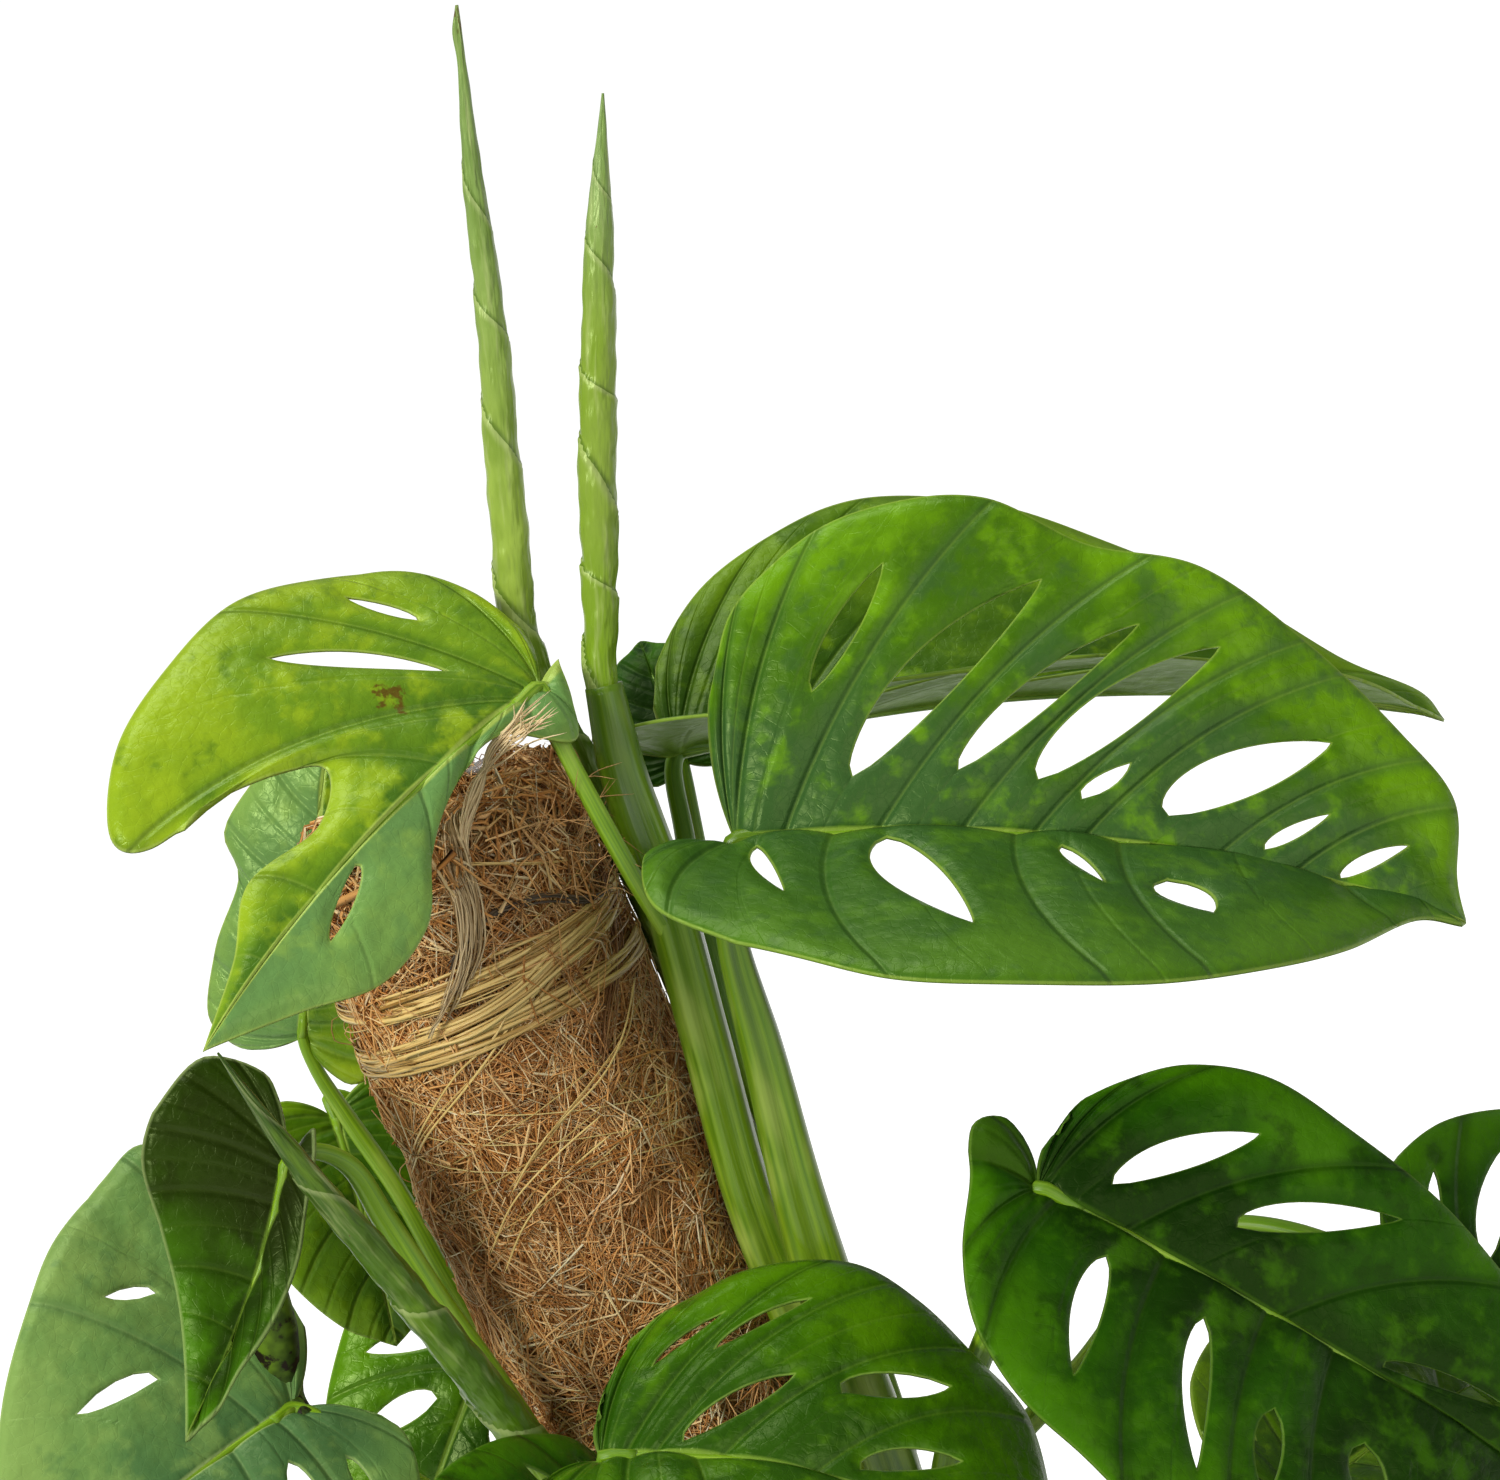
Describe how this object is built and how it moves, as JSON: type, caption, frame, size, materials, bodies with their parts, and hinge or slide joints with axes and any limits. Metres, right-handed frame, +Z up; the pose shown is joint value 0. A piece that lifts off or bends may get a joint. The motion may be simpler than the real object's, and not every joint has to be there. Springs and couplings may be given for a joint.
{
  "type": "potted monkey mask monstera",
  "caption": "Potted monkey mask monstera: pierced leaves on arched stalks and rolled young spears, climbing a coir pole tied with raffia in a nursery pot.",
  "frame": {"origin": "middle of the pot's flat underside, on the surface the plant stands on", "axes": "+Z up along the pole, -Y towards the viewer, +X to the viewer's right"},
  "size_m": [0.3957, 0.3506, 0.6147],
  "materials": {
    "pot": "satin",
    "soil": "matte",
    "coir": "matte",
    "core": "satin",
    "raffia": "satin",
    "glue": "gloss",
    "vine": "satin",
    "spear": "satin",
    "leaf_deep": "satin",
    "leaf_fresh": "satin",
    "leaf_pale": "satin",
    "leaf_dark": "satin"
  },
  "bodies": {
    "root": {"pot": "pot", "soil": "soil", "coir_sleeve": "coir", "core_pipe": "core", "core_cap": "core", "raffia_tie_upper": "raffia", "raffia_tie_lower": "raffia", "raffia_hank": "raffia", "glue_bead": "glue", "vine_right": "vine", "vine_left": "vine", "vine_back_left": "vine", "vine_back_right": "vine", "spear_tall": "spear", "spear_short": "spear", "spear_low": "spear", "leaf_top_right": "leaf_deep", "leaf_behind_top_right": "leaf_fresh", "leaf_lower_right": "leaf_dark", "leaf_far_right": "leaf_deep", "leaf_under_right": "leaf_fresh", "leaf_behind_spears": "leaf_dark", "leaf_top_left": "leaf_pale", "leaf_behind_top_left": "leaf_pale", "leaf_cupped_left": "leaf_fresh", "leaf_big_left": "leaf_deep", "leaf_backlit_left": "leaf_pale", "leaf_lower_left": "leaf_fresh", "leaf_front": "leaf_fresh", "leaf_front_dark": "leaf_dark", "leaf_low_front_right": "leaf_deep", "leaf_low_front_left": "leaf_deep", "leaf_low_front": "leaf_deep", "leaf_low_side_left": "leaf_deep", "leaf_low_back_left": "leaf_deep", "leaf_low_back_right": "leaf_deep"}
  },
  "joints": []
}
